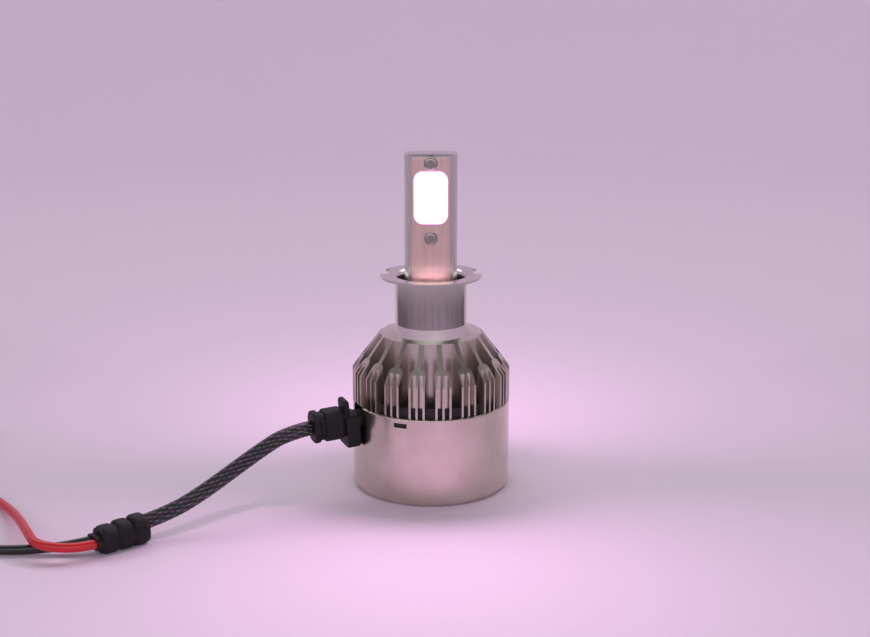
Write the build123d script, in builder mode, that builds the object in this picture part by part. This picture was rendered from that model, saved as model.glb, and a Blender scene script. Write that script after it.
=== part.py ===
# LED headlight bulb with a 22 mm disc base, a tree-finned heatsink, a cooling fan and a braided pigtail.
# Millimetres. +Z runs up the bulb's axis, the origin is the centre of the foot, the front LED faces -Y.
from build123d import *
import math
import os

os.makedirs("parts", exist_ok=True)

# Fits
running_gap = 0.02
sliding_gap = 0.05
loose_gap = 0.15
same_place = 0.01

# Body: the shroud and the turned outside of the heatsink share one radius
body_radius = 17.2
shroud_height = 19.5
shroud_wall = 1.0
shroud_floor = 1.2
shroud_foot_round = 1.5
rim_round = 0.3

# Heatsink
core_radius = 11.0
ring_land = 0.25
fin_count = 19
first_fin_angle = -100.0
fin_land = 7.0
cone_height = 7.8
trunk_width = 1.05
tine_count = 3
tine_width = 0.45
tine_slot = 1.04
tine_length = 1.75
slot_round = 0.3
fork_depth = 0.75
shoulder_round_share = 0.8
neck_round_share = 0.16
turning_stock = 0.3
fin_foot_chamfer = 0.35
spigot_height = 2.4

# Collar: one drawn sheet with the 22 mm disc at its top
sheet = 0.5
sleeve_radius = 7.75
disc_radius = 11.0
disc_bend = 0.7
collar_height = 12.9
foot_flare = 0.55
foot_height = 2.2
foot_bend = 1.6
disc_notch_inner = 9.2
disc_notch_width = 4.8

# LED post and boards
post_radius = 5.65
post_thickness = 6.0
post_reach = 26.2
post_foot_lift = 1.5
post_top_chamfer = 0.15
board_width = 8.0
board_thickness = 0.8
board_top_drop = 0.7
board_foot_gap = 1.2
board_corner = 0.4
emitter_width = 7.2
emitter_height = 11.2
emitter_corner = 2.0
emitter_thickness = 0.45
light_centre = 17.2
lead_diameter = 0.9
lead_spacing = 2.4
lead_overlap = 3.0

# Board screws: pan head, cross recess
screw_head_radius = 1.45
screw_head_height = 0.9
screw_head_round = 0.65
screw_thread_radius = 0.8
screw_length = 2.9
screw_recess_width = 0.36
screw_recess_span = 1.3
screw_recess_depth = 0.5
screw_top_drop = 1.75
screw_pitch = 15.9

# Clip windows in the shroud, three round the rim
clip_count = 3
clip_angle = -112.0
window_width = 2.9
window_height = 1.0
window_drop = 1.5
hook_recess = 0.35

# Carrier ring under the heatsink, and the driver board below it
carrier_plate = 1.2
carrier_depth = 2.9
carrier_rim = 0.85
carrier_wall = 0.55
carrier_wall_height = 2.0
carrier_hub_radius = 10.4
carrier_bore = 5.9
carrier_spoke = 2.6
driver_radius = 9.8
driver_thickness = 1.2
driver_screw_circle_radius = 8.2
driver_screw_count = 3
driver_screw_cap_radius = 1.3
driver_screw_cap_height = 1.0
driver_screw_radius = 0.8
driver_screw_bite_depth = 3.6
inductor_radius = 3.0
inductor_height = 3.6
inductor_waist = 0.5
inductor_cheek = 0.7
inductor_place = (2.4, 4.8)
capacitor_radius = 2.0
capacitor_height = 5.0
capacitor_round = 0.4
capacitor_places = ((4.6, -3.6), (1.0, -6.2))
chip_length = 5.0
chip_width = 4.0
chip_height = 1.6
chip_place = (-4.4, 1.6)
chip_leg_count = 4
chip_leg_width = 0.4
chip_leg_reach = 0.7
chip_leg_pitch = 1.27

# Fan
fan_height = 7.0
fan_ring_wall = 0.9
fan_base = 1.0
fan_strut = 2.0
fan_strut_count = 3
fan_strut_angle = 30.0
bearing_tube_radius = 2.0
bearing_radius = 1.5
bearing_tube_height = 4.3
bearing_foot_gap = 0.3
shaft_radius = 0.75
shaft_foot_gap = 0.1
hub_radius = 6.4
hub_wall = 0.7
hub_top = 1.0
hub_lift = 1.0
hub_round = 0.6
hub_boss_radius = 1.5
hub_boss_height = 0.25
fan_top_gap = 0.2
magnet_wall = 0.8
magnet_lift = 0.2
air_gap = 0.3
stator_hub_wall = 0.9
stator_arm = 1.2
stator_shoe = 0.55
stator_shoe_angle = 56.0
stator_pole_count = 4
stator_stack = 2.4
stator_lift = 1.4
coil_build = 0.45
coil_margin = 0.1
fan_circuit_radius = 5.4
fan_circuit_thickness = 0.6
blade_count = 7
blade_thickness = 0.6
blade_root_chord = 5.0
blade_tip_chord = 5.8
blade_root_pitch = 50.0
blade_tip_pitch = 30.0
blade_tip_gap = 0.45
blade_seat = 0.2
fan_lead_diameter = 0.6
fan_lead_bend = 1.2
fan_lead_spacing = 0.9
fan_lead_slot = 2.0
fan_lead_rise = 3.0
fan_lead_board_radius = 7.6

# Intake grille in the shroud's floor
grille_outer = 14.0
grille_inner = 6.8
grille_ring_count = 2
grille_ring_width = 0.9
grille_spoke_count = 6
grille_spoke_width = 1.1

# Rubber strain relief in a notch of the shroud's rim
grommet_angle = -158.0
grommet_drop = 3.1
grommet_droop = 3.5
grommet_neck_width = 5.0
grommet_neck_height = 3.8
grommet_neck_corner = 1.6
grommet_flange_width = 7.0
grommet_flange_height = 6.1
grommet_flange_thickness = 1.2
grommet_root_gap = 0.5
grommet_root_width = 7.0
grommet_root_height = 7.3
grommet_root_rise = -1.75
grommet_core_height = 5.8
grommet_plate_stand = 2.3
grommet_plate_thickness = 1.2
grommet_plate_width = 4.8
grommet_plate_height = 9.9
grommet_plate_corner = 1.0
grommet_plate_rise = 0.2
grommet_body_width = 5.9
grommet_body_height = 6.9
grommet_body_corner = 2.3
grommet_body_gap = 0.35
grommet_body_length = 4.1
grommet_groove = 1.0
grommet_ridge_length = 1.45
grommet_round = 0.45
input_lead_diameter = 0.9
input_lead_spacing = 2.0
input_lead_end = 6.0

# Pigtail: braided cable, moulded joint, red and black wires and their blade terminals
cable_diameter = 2.9
cord_seat = 1.5
bend_share = 0.45
joint_start = (-57.15, -34.54)
joint_angle = -141.5
joint_length = 10.1
joint_width = 5.4
joint_height = 6.0
joint_fall = 0.6
joint_lobe_count = 3
joint_lobe_depth = 0.3
joint_corner = 2.0
joint_round = 1.0
joint_cable_height = 3.9
joint_boot_length = 1.2
joint_boot_wall = 0.45
wire_diameter = 1.9
wire_height = 2.6
wire_spacing = 2.2
terminal_barrel_radius = 1.6
terminal_barrel_length = 5.0
terminal_blade_width = 6.3
terminal_blade_sheet = 0.8
terminal_blade_length = 8.0
terminal_blade_seat = 0.8
terminal_hole_radius = 0.9
terminal_hole_setback = 2.8
terminal_nose = 1.2
sleeve_lap = 3.0
sleeve_length = 13.0
sleeve_width = 7.7
sleeve_height = 4.4
sleeve_wall = 0.45
sleeve_corner = 2.1

# Levels along the axis
fin_start = shroud_height
cone_start = fin_start + fin_land
ring_top = cone_start + cone_height
disc_top = ring_top + collar_height
post_top = disc_top + post_reach
light_level = disc_top + light_centre
board_top = post_top - board_top_drop
board_foot = ring_top + spigot_height + board_foot_gap
screw_levels = (post_top - screw_top_drop, post_top - screw_top_drop - screw_pitch)
shroud_bore = body_radius - shroud_wall
carrier_face = fin_start - carrier_plate
driver_top = carrier_face
driver_face = driver_top - driver_thickness
grommet_level = shroud_height - grommet_drop
window_level = shroud_height - window_drop

# Radii worked out from the fits
tine_root = body_radius - tine_length
fork_radius = tine_root - fork_depth
stock_radius = body_radius + turning_stock
carrier_radius = shroud_bore - sliding_gap
wall_inner = carrier_radius - carrier_rim
wall_outer = wall_inner + carrier_wall
fork_span = tine_count * tine_width + (tine_count - 1) * tine_slot
shoulder_reach = (fork_span - trunk_width) / 2
shoulder_round = shoulder_reach * shoulder_round_share
neck_round = shoulder_reach * neck_round_share
bore_radius = post_radius
spigot_radius = sleeve_radius - sheet - sliding_gap
flat_face = post_thickness / 2
board_face = flat_face + board_thickness
lead_offset = board_face + lead_diameter / 2
screw_drill = screw_thread_radius + running_gap
screw_hole_depth = screw_length - board_thickness + loose_gap


def corners_at(outline, reach, half_width):
    """Corners of a sketch at this X and at this distance to either side of the X axis."""
    return outline.vertices().filter_by(
        lambda corner: abs(corner.X - reach) + abs(abs(corner.Y) - half_width) < same_place
    )


# Heatsink: extruded section of a core with tree fins, turned to a cone at the top and grooved underneath
with BuildSketch() as tree_fin:
    with Locations(((core_radius + fork_radius) / 2, 0)):
        Rectangle(fork_radius - core_radius + ring_land * 2, trunk_width)
    with Locations(((fork_radius + stock_radius) / 2, 0)):
        Rectangle(stock_radius - fork_radius, fork_span)
    fillet(corners_at(tree_fin, fork_radius, fork_span / 2), shoulder_round)
    fillet(corners_at(tree_fin, fork_radius, trunk_width / 2), neck_round)
    with Locations(((tine_root + stock_radius) / 2, 0)):
        with GridLocations(1, tine_width + tine_slot, 1, tine_count - 1):
            Rectangle(stock_radius - tine_root, tine_slot, mode=Mode.SUBTRACT)
    fillet(corners_at(tree_fin, tine_root, tine_width / 2), slot_round)
    fillet(corners_at(tree_fin, tine_root, tine_width / 2 + tine_slot), slot_round)

with BuildPart() as heatsink:
    with BuildSketch(Plane.XY.offset(fin_start)):
        Circle(core_radius)
        with PolarLocations(0, fin_count, first_fin_angle):
            add(tree_fin.sketch)
    extrude(amount=ring_top - fin_start)
    with BuildSketch(Plane.XZ):
        with BuildLine():
            Polyline(
                (0, fin_start),
                (body_radius - fin_foot_chamfer, fin_start),
                (body_radius, fin_start + fin_foot_chamfer),
                (body_radius, cone_start),
                (core_radius + ring_land, ring_top),
                (0, ring_top),
                close=True,
            )
        make_face()
    revolve(axis=Axis.Z, mode=Mode.INTERSECT)
    with BuildSketch(Plane.XY.offset(ring_top)):
        Circle(spigot_radius)
    extrude(amount=spigot_height)
    with BuildSketch(Plane.XY.offset(fin_start)):
        Circle(bore_radius)
    extrude(amount=ring_top + spigot_height - fin_start, mode=Mode.SUBTRACT)
    with BuildSketch(Plane.XY.offset(fin_start)):
        with PolarLocations(driver_screw_circle_radius, driver_screw_count):
            Circle(driver_screw_radius + running_gap)
    extrude(amount=driver_screw_bite_depth + loose_gap, mode=Mode.SUBTRACT)
    with BuildSketch(Plane.XY.offset(fin_start)):
        Circle(wall_outer + sliding_gap)
        Circle(wall_inner - sliding_gap, mode=Mode.SUBTRACT)
    extrude(amount=carrier_wall_height + sliding_gap, mode=Mode.SUBTRACT)
heatsink.part.label = "heatsink"
export_step(heatsink.part, "parts/heatsink.step")

# LED post: round bar with two flats, pressed into the core, drilled for the board screws
post_foot = fin_start + post_foot_lift
with BuildPart() as led_post:
    with BuildSketch(Plane.XY.offset(post_foot)):
        Circle(post_radius)
        Rectangle(2 * post_radius, post_thickness, mode=Mode.INTERSECT)
    extrude(amount=post_top - post_foot)
    chamfer(led_post.faces().sort_by(Axis.Z)[-1].edges(), post_top_chamfer)
    for side in (-1, 1):
        with BuildSketch(Plane((0, side * flat_face, 0), x_dir=(-side, 0, 0), z_dir=(0, side, 0))):
            with Locations(*[(0, level) for level in screw_levels]):
                Circle(screw_drill)
        extrude(amount=-screw_hole_depth, mode=Mode.SUBTRACT)
led_post.part.label = "led_post"
export_step(led_post.part, "parts/led_post.step")


def front_plane(distance):
    """Upright plane facing -Y at this distance from the axis, with X to the right and Z up."""
    return Plane((0, -distance, 0), x_dir=(1, 0, 0), z_dir=(0, -1, 0))


# LED boards: metal-core plates screwed to the flats, front and rear alike
with BuildPart() as led_board_front:
    with BuildSketch(front_plane(flat_face)):
        with Locations((0, (board_top + board_foot) / 2)):
            RectangleRounded(board_width, board_top - board_foot, board_corner)
        with Locations(*[(0, level) for level in screw_levels]):
            Circle(screw_thread_radius + loose_gap, mode=Mode.SUBTRACT)
    extrude(amount=board_thickness)
led_board_front.part.label = "led_board_front"
export_step(led_board_front.part, "parts/led_board_front.step")

with BuildPart() as led_board_rear:
    add(led_board_front.part)
    mirror(about=Plane.XZ, mode=Mode.REPLACE)
led_board_rear.part.label = "led_board_rear"
export_step(led_board_rear.part, "parts/led_board_rear.step")

# Emitters: phosphor-filled silicone over the chips, a rounded pad on each board
with BuildPart() as led_emitter_front:
    with BuildSketch(front_plane(board_face)):
        with Locations((0, light_level)):
            RectangleRounded(emitter_width, emitter_height, emitter_corner)
    extrude(amount=emitter_thickness)
    outer_face = led_emitter_front.faces().sort_by(Axis.Y)[0]
    chamfer(outer_face.edges(), emitter_thickness / 3)
led_emitter_front.part.label = "led_emitter_front"
export_step(led_emitter_front.part, "parts/led_emitter_front.step")

with BuildPart() as led_emitter_rear:
    add(led_emitter_front.part)
    mirror(about=Plane.XZ, mode=Mode.REPLACE)
led_emitter_rear.part.label = "led_emitter_rear"
export_step(led_emitter_rear.part, "parts/led_emitter_rear.step")

# Board screws: one screw drawn with its seat at z = 0, then set on both boards
with BuildPart() as screw:
    with BuildSketch():
        Circle(screw_head_radius)
    extrude(amount=screw_head_height)
    fillet(screw.edges().sort_by(Axis.Z)[-1], screw_head_round)
    with BuildSketch():
        Circle(screw_thread_radius)
    extrude(amount=-screw_length)
    with BuildSketch(Plane.XY.offset(screw_head_height)):
        Rectangle(screw_recess_span, screw_recess_width)
        Rectangle(screw_recess_width, screw_recess_span)
    extrude(amount=-screw_recess_depth, mode=Mode.SUBTRACT)

with BuildPart() as board_screws:
    for level in screw_levels:
        with Locations(
            Location((0, -board_face, level), (90, 0, 0)),
            Location((0, board_face, level), (-90, 0, 0)),
        ):
            add(screw.part)
board_screws.part.label = "board_screws"
export_step(board_screws.part, "parts/board_screws.step")

# LED leads: straight wires up the gaps beside the flats, soldered to the foot of each board
lead_places = [
    (across * lead_spacing / 2, side * lead_offset) for across in (-1, 1) for side in (-1, 1)
]
with BuildPart() as led_leads:
    with BuildSketch(Plane.XY.offset(driver_top)):
        with Locations(*lead_places):
            Circle(lead_diameter / 2)
    extrude(amount=board_foot + lead_overlap - driver_top)
led_leads.part.label = "led_leads"
export_step(led_leads.part, "parts/led_leads.step")

# Mount collar: drawn sheet, a disc at the top, a sleeve and a flared foot pressed on the spigot
sleeve_bore = sleeve_radius - sheet
foot_radius = sleeve_radius + foot_flare
with BuildPart() as mount_collar:
    with BuildSketch(Plane.XZ) as collar_section:
        with BuildLine():
            Polyline(
                (sleeve_bore, disc_top),
                (disc_radius, disc_top),
                (disc_radius, disc_top - sheet),
                (sleeve_radius, disc_top - sheet),
                (sleeve_radius, ring_top + foot_height),
                (foot_radius, ring_top),
                (foot_radius - sheet, ring_top),
                (sleeve_bore, ring_top + foot_height),
                close=True,
            )
        make_face()
        corners = collar_section.vertices()
        fillet(corners.group_by(Axis.Y)[-1].sort_by(Axis.X)[0], disc_bend + sheet)
        under_disc = corners.filter_by(
            lambda corner: abs(corner.X - sleeve_radius) < same_place and corner.Y > disc_top - 2 * sheet
        )
        fillet(under_disc, disc_bend)
        flare = corners.filter_by(lambda corner: abs(corner.Y - ring_top - foot_height) < same_place)
        fillet(flare, foot_bend)
    revolve(axis=Axis.Z)
    with BuildSketch(Plane.XY.offset(disc_top)):
        for side in (-1, 1):
            with Locations((side * disc_radius, disc_notch_width / 2)):
                Rectangle(2 * (disc_radius - disc_notch_inner), disc_notch_width)
    extrude(amount=-sheet, mode=Mode.SUBTRACT)
mount_collar.part.label = "mount_collar"
export_step(mount_collar.part, "parts/mount_collar.step")


def radial_plane(angle, reach, level, droop=0):
    """Plane facing outward at this angle about the axis, at this reach and level, tipped down by droop."""
    turn = math.radians(angle)
    tip = math.radians(droop)
    out = Vector(math.cos(turn), math.sin(turn), 0)
    along = (-math.sin(turn), math.cos(turn), 0)
    facing = out * math.cos(tip) - Vector(0, 0, math.sin(tip))
    return Plane(out * reach + Vector(0, 0, level), x_dir=along, z_dir=facing)


# Fan shroud: cup with an intake grille in its floor, clip windows and a rim notch for the strain relief
with BuildPart() as fan_shroud:
    with BuildSketch():
        Circle(body_radius)
    extrude(amount=shroud_height)
    fillet(fan_shroud.edges().sort_by(Axis.Z)[0], shroud_foot_round)
    fillet(fan_shroud.edges().sort_by(Axis.Z)[-1], rim_round)
    with BuildSketch(Plane.XY.offset(shroud_floor)):
        Circle(shroud_bore)
    extrude(amount=shroud_height - shroud_floor, mode=Mode.SUBTRACT)
    with BuildSketch():
        Circle(grille_outer)
        ring_pitch = (grille_outer - grille_inner) / (grille_ring_count + 1)
        for number in range(grille_ring_count, 0, -1):
            ring_middle = grille_inner + number * ring_pitch
            Circle(ring_middle + grille_ring_width / 2, mode=Mode.SUBTRACT)
            Circle(ring_middle - grille_ring_width / 2)
        Circle(grille_inner, mode=Mode.SUBTRACT)
        with PolarLocations(0, grille_spoke_count, fan_strut_angle):
            with Locations((grille_outer / 2, 0)):
                Rectangle(grille_outer, grille_spoke_width, mode=Mode.SUBTRACT)
    extrude(amount=shroud_floor, mode=Mode.SUBTRACT)
    for number in range(clip_count):
        with BuildSketch(radial_plane(clip_angle + number * 360 / clip_count, 0, window_level)):
            Rectangle(window_width, window_height)
        extrude(amount=body_radius + shroud_wall, mode=Mode.SUBTRACT)
    with BuildSketch(radial_plane(grommet_angle, 0, grommet_level)):
        notch_width = grommet_neck_width + 2 * sliding_gap
        RectangleRounded(notch_width, grommet_neck_height + 2 * sliding_gap, grommet_neck_corner)
        with Locations((0, grommet_drop)):
            Rectangle(notch_width, 2 * grommet_drop)
    extrude(amount=body_radius + shroud_wall, mode=Mode.SUBTRACT)
fan_shroud.part.label = "fan_shroud"
export_step(fan_shroud.part, "parts/fan_shroud.step")

# Carrier ring: plastic ring screwed under the core, with a thin wall that stands in the heatsink's groove.
# Its three hooks hold the shroud by the windows
with BuildPart() as carrier_ring:
    with BuildSketch(Plane.XY.offset(carrier_face)):
        Circle(carrier_hub_radius)
        with PolarLocations(0, clip_count, clip_angle):
            with Locations((carrier_radius / 2, 0)):
                Rectangle(carrier_radius - carrier_rim, carrier_spoke)
        Circle(carrier_bore, mode=Mode.SUBTRACT)
    extrude(amount=carrier_plate)
    with BuildSketch(Plane.XY.offset(fin_start)):
        Circle(carrier_radius)
        Circle(wall_inner, mode=Mode.SUBTRACT)
    extrude(amount=-carrier_depth)
    for number in range(clip_count):
        hook_seat = carrier_radius - carrier_rim / 2
        with BuildSketch(radial_plane(clip_angle + number * 360 / clip_count, hook_seat, window_level)):
            Rectangle(window_width - 2 * loose_gap, window_height - 2 * loose_gap)
        extrude(amount=body_radius - hook_recess - hook_seat)
    with BuildSketch(radial_plane(grommet_angle, carrier_hub_radius, fin_start)):
        Rectangle(grommet_flange_width + 2 * loose_gap, 2 * carrier_depth)
    extrude(amount=body_radius, mode=Mode.SUBTRACT)
    with BuildSketch(Plane.XY.offset(fin_start)):
        Circle(wall_outer)
        Circle(wall_inner, mode=Mode.SUBTRACT)
    extrude(amount=carrier_wall_height)
    with BuildSketch(Plane.XY.offset(carrier_face)):
        with PolarLocations(driver_screw_circle_radius, driver_screw_count):
            Circle(driver_screw_radius + loose_gap)
    extrude(amount=carrier_plate, mode=Mode.SUBTRACT)
carrier_ring.part.label = "carrier_ring"
export_step(carrier_ring.part, "parts/carrier_ring.step")

# Driver board and what is soldered under it
with BuildPart() as driver_board:
    with BuildSketch(Plane.XY.offset(driver_face)):
        Circle(driver_radius)
        with PolarLocations(driver_screw_circle_radius, driver_screw_count):
            Circle(driver_screw_radius + loose_gap, mode=Mode.SUBTRACT)
    extrude(amount=driver_thickness)
driver_board.part.label = "driver_board"
export_step(driver_board.part, "parts/driver_board.step")

with BuildPart() as driver_screws:
    with BuildSketch(Plane.XY.offset(driver_face)):
        with PolarLocations(driver_screw_circle_radius, driver_screw_count):
            Circle(driver_screw_cap_radius)
    extrude(amount=-driver_screw_cap_height)
    with BuildSketch(Plane.XY.offset(driver_face)):
        with PolarLocations(driver_screw_circle_radius, driver_screw_count):
            Circle(driver_screw_radius)
    extrude(amount=driver_thickness + carrier_plate + driver_screw_bite_depth)
driver_screws.part.label = "driver_screws"
export_step(driver_screws.part, "parts/driver_screws.step")

with BuildPart() as driver_inductor:
    with BuildSketch(Plane.XY.offset(driver_face)):
        with Locations(inductor_place):
            Circle(inductor_radius)
    extrude(amount=-inductor_height)
    with BuildSketch(Plane.XY.offset(driver_face - inductor_cheek)):
        with Locations(inductor_place):
            Circle(inductor_radius)
            Circle(inductor_radius - inductor_waist, mode=Mode.SUBTRACT)
    extrude(amount=2 * inductor_cheek - inductor_height, mode=Mode.SUBTRACT)
driver_inductor.part.label = "driver_inductor"
export_step(driver_inductor.part, "parts/driver_inductor.step")

with BuildPart() as driver_capacitors:
    with BuildSketch(Plane.XY.offset(driver_face)):
        with Locations(*capacitor_places):
            Circle(capacitor_radius)
    extrude(amount=-capacitor_height)
    fillet(driver_capacitors.edges().group_by(Axis.Z)[0], capacitor_round)
driver_capacitors.part.label = "driver_capacitors"
export_step(driver_capacitors.part, "parts/driver_capacitors.step")

with BuildPart() as driver_chip:
    with BuildSketch(Plane.XY.offset(driver_face)):
        with Locations(chip_place):
            with GridLocations(chip_leg_pitch, 1, chip_leg_count, 1):
                Rectangle(chip_leg_width, chip_width + 2 * chip_leg_reach)
    extrude(amount=-chip_leg_width)
    with BuildSketch(Plane.XY.offset(driver_face)):
        with Locations(chip_place):
            Rectangle(chip_length, chip_width)
    extrude(amount=-chip_height)
driver_chip.part.label = "driver_chip"
export_step(driver_chip.part, "parts/driver_chip.step")

# Fan frame: ring pressed into the shroud, struts, motor base and bearing tube
fan_floor = shroud_floor
fan_deck = fan_floor + fan_base
ring_outer = shroud_bore - running_gap
ring_inner = ring_outer - fan_ring_wall
with BuildPart() as fan_frame:
    with BuildSketch(Plane.XY.offset(fan_floor)):
        Circle(ring_outer)
        Circle(ring_inner, mode=Mode.SUBTRACT)
    extrude(amount=fan_height)
    with BuildSketch(Plane.XY.offset(fan_floor)):
        Circle(hub_radius)
        with PolarLocations(0, fan_strut_count, fan_strut_angle):
            with Locations((ring_outer / 2, 0)):
                Rectangle(ring_outer - fan_ring_wall, fan_strut)
    extrude(amount=fan_base)
    with BuildSketch(Plane.XY.offset(fan_deck)):
        Circle(bearing_tube_radius)
        Circle(bearing_radius, mode=Mode.SUBTRACT)
    extrude(amount=bearing_tube_height)
    with BuildSketch(radial_plane(fan_strut_angle, hub_radius, fan_deck + fan_height / 2)):
        Rectangle(fan_lead_slot, fan_height)
    extrude(amount=body_radius, mode=Mode.SUBTRACT)
fan_frame.part.label = "fan_frame"
export_step(fan_frame.part, "parts/fan_frame.step")

# Fan bearing, circuit, stator and coils round the bearing tube
with BuildPart() as fan_bearing:
    with BuildSketch(Plane.XY.offset(fan_deck + bearing_foot_gap)):
        Circle(bearing_radius)
        Circle(shaft_radius + running_gap, mode=Mode.SUBTRACT)
    extrude(amount=bearing_tube_height - bearing_foot_gap)
fan_bearing.part.label = "fan_bearing"
export_step(fan_bearing.part, "parts/fan_bearing.step")

with BuildPart() as fan_circuit:
    with BuildSketch(Plane.XY.offset(fan_deck)):
        Circle(fan_circuit_radius)
        Circle(bearing_tube_radius, mode=Mode.SUBTRACT)
    extrude(amount=fan_circuit_thickness)
fan_circuit.part.label = "fan_circuit"
export_step(fan_circuit.part, "parts/fan_circuit.step")

magnet_outer = hub_radius - hub_wall
magnet_inner = magnet_outer - magnet_wall
stator_radius = magnet_inner - air_gap
stator_foot = fan_deck + stator_lift
stator_hub = bearing_tube_radius + stator_hub_wall
shoe_inner = stator_radius - stator_shoe
with BuildPart() as stator_core:
    with BuildSketch(Plane.XY.offset(stator_foot)):
        with PolarLocations(0, stator_pole_count):
            with BuildLine():
                shoe_start = -stator_shoe_angle / 2
                inner_arc = CenterArc((0, 0), shoe_inner, shoe_start, stator_shoe_angle)
                outer_arc = CenterArc((0, 0), stator_radius, shoe_start, stator_shoe_angle)
                Line(inner_arc @ 0, outer_arc @ 0)
                Line(inner_arc @ 1, outer_arc @ 1)
            make_face()
            with Locations(((bearing_tube_radius + stator_radius) / 2, 0)):
                Rectangle(stator_radius - bearing_tube_radius - stator_shoe, stator_arm)
        Circle(stator_hub)
        Circle(bearing_tube_radius, mode=Mode.SUBTRACT)
    extrude(amount=stator_stack)
stator_core.part.label = "stator_core"
export_step(stator_core.part, "parts/stator_core.step")

with BuildPart() as stator_coils:
    for number in range(stator_pole_count):
        coil_middle = stator_foot + stator_stack / 2
        pole_angle = number * 360 / stator_pole_count
        with BuildSketch(radial_plane(pole_angle, stator_hub + coil_margin, coil_middle)):
            Rectangle(stator_arm + 2 * coil_build, stator_stack + 2 * coil_build)
            Rectangle(stator_arm, stator_stack, mode=Mode.SUBTRACT)
        extrude(amount=shoe_inner - stator_hub - 3 * coil_margin)
stator_coils.part.label = "stator_coils"
export_step(stator_coils.part, "parts/stator_coils.step")

# Rotor: hub cup with swept blades, its shaft and its magnet ring turn together
rotor_foot = fan_deck + hub_lift
rotor_top = fan_floor + fan_height - fan_top_gap
hub_ceiling = rotor_top - hub_top
blade_tip = ring_inner - blade_tip_gap
blade_root = hub_radius - hub_wall + blade_seat
blade_level = (rotor_foot + rotor_top) / 2


def blade_plane(reach):
    """Upright plane across a blade at this radius, with its first axis along the fan's turn."""
    return Plane((reach, 0, blade_level), x_dir=(0, 1, 0), z_dir=(1, 0, 0))


with BuildPart() as blade:
    with BuildSketch(blade_plane(blade_root)):
        Rectangle(blade_root_chord, blade_thickness, rotation=blade_root_pitch)
    with BuildSketch(blade_plane(body_radius)):
        Rectangle(blade_tip_chord, blade_thickness, rotation=blade_tip_pitch)
    loft()
    with BuildSketch():
        Circle(blade_tip)
    extrude(amount=shroud_height, mode=Mode.INTERSECT)

with BuildPart() as fan_rotor:
    with BuildSketch(Plane.XY.offset(rotor_foot)):
        Circle(hub_radius)
    extrude(amount=rotor_top - rotor_foot)
    fillet(fan_rotor.edges().sort_by(Axis.Z)[-1], hub_round)
    with BuildSketch(Plane.XY.offset(rotor_foot)):
        Circle(magnet_outer)
    extrude(amount=hub_ceiling - rotor_foot, mode=Mode.SUBTRACT)
    with BuildSketch(Plane.XY.offset(hub_ceiling)):
        Circle(hub_boss_radius)
    extrude(amount=-hub_boss_height)
    with PolarLocations(0, blade_count):
        add(blade.part)
    with BuildSketch(Plane.XY.offset(rotor_foot)):
        Circle(shaft_radius)
    extrude(amount=rotor_top - rotor_foot, mode=Mode.SUBTRACT)
fan_rotor.part.label = "fan_rotor"
export_step(fan_rotor.part, "parts/fan_rotor.step")

with BuildPart() as rotor_shaft:
    with BuildSketch(Plane.XY.offset(fan_deck + shaft_foot_gap)):
        Circle(shaft_radius)
    extrude(amount=rotor_top - fan_deck - shaft_foot_gap)
rotor_shaft.part.label = "rotor_shaft"
export_step(rotor_shaft.part, "parts/rotor_shaft.step")

with BuildPart() as rotor_magnet:
    with BuildSketch(Plane.XY.offset(hub_ceiling)):
        Circle(magnet_outer)
        Circle(magnet_inner, mode=Mode.SUBTRACT)
    extrude(amount=magnet_lift + rotor_foot - hub_ceiling)
rotor_magnet.part.label = "rotor_magnet"
export_step(rotor_magnet.part, "parts/rotor_magnet.step")


def tube(points, radii, diameter):
    """Round solid along straight runs joined by tangent arcs, and the length of its middle line."""
    with BuildPart() as run:
        with BuildLine() as route:
            FilletPolyline(*points, radius=radii)
        with BuildSketch(Plane(route.line @ 0, z_dir=route.line % 0)):
            Circle(diameter / 2)
        sweep()
    return run.part, sum(edge.length for edge in route.edges())


# Fan leads: along a strut, up the slot in the ring and in to the driver board
fan_turn = math.radians(fan_strut_angle)
fan_lead_level = fan_deck + fan_lead_diameter / 2
fan_lead_reach = (ring_inner + ring_outer) / 2
fan_lead_cross = fan_floor + fan_height + fan_lead_rise


def on_strut(reach, across, level):
    """Point at this reach along the slotted strut, this far to its left, at this level."""
    x = reach * math.cos(fan_turn) - across * math.sin(fan_turn)
    y = reach * math.sin(fan_turn) + across * math.cos(fan_turn)
    return (x, y, level)


fan_lead_runs = []
for side in (-1, 1):
    across = side * fan_lead_spacing / 2
    fan_lead_points = [
        on_strut(fan_circuit_radius, across, fan_lead_level),
        on_strut(fan_lead_reach, across, fan_lead_level),
        on_strut(fan_lead_reach, across, fan_lead_cross),
        on_strut(fan_lead_board_radius, across, fan_lead_cross),
        on_strut(fan_lead_board_radius, across, driver_face),
    ]
    fan_lead_runs.append(tube(fan_lead_points, fan_lead_bend, fan_lead_diameter)[0])
with BuildPart() as fan_leads:
    add(fan_lead_runs)
fan_leads.part.label = "fan_leads"
export_step(fan_leads.part, "parts/fan_leads.step")

def bend_radii(points):
    """Radius at each inner corner: a share of the shorter run over the tangent of half the turn."""
    places = [Vector(*point) for point in points]
    radii = []
    for before, corner, after in zip(places, places[1:], places[2:]):
        half_turn = math.radians((corner - before).get_angle(after - corner)) / 2
        shorter = min((corner - before).length, (after - corner).length)
        radii.append(bend_share * shorter / math.tan(half_turn))
    return radii


def cord(label, points, diameter):
    """Plain solid of a free cord, written as its own node, with a note of its bends and volume."""
    radii = bend_radii(points)
    solid, length = tube(points, radii, diameter)
    section = math.pi * diameter**2 / 4
    print(label, "length", round(length, 1), "bend radii", [round(radius, 1) for radius in radii])
    print(label, "volume over section times length", round(solid.volume / (section * length), 3))
    solid.label = label
    export_step(solid, f"parts/{label}.step")
    return solid


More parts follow.
